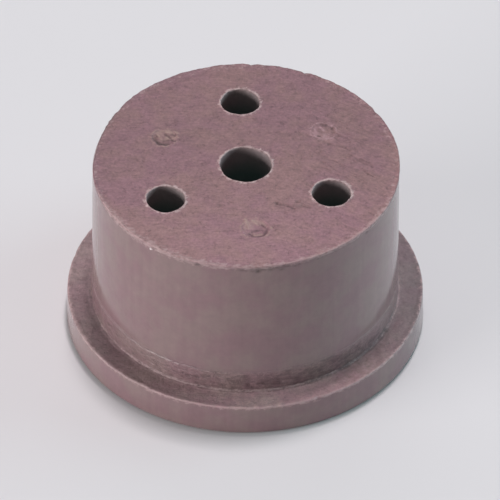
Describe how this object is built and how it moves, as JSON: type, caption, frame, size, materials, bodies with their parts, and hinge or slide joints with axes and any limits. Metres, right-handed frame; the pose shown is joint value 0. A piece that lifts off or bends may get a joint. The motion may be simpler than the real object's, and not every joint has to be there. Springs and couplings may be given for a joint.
{
  "type": "rubber stopper",
  "caption": "Round flanged rubber stopper: a slightly tapered plug on a wider disc, with holes through it for glass tubes.",
  "frame": {"origin": "centre of the flange's underside, on the axis of the centre hole", "axes": "+Z along the axis from the flange to the plug's end; +Y towards one of the side holes"},
  "size_m": [0.05, 0.05, 0.0277],
  "materials": {
    "rubber": "matte moulded rubber with a ground end face"
  },
  "bodies": {
    "root": {"stopper": "rubber"}
  },
  "joints": []
}
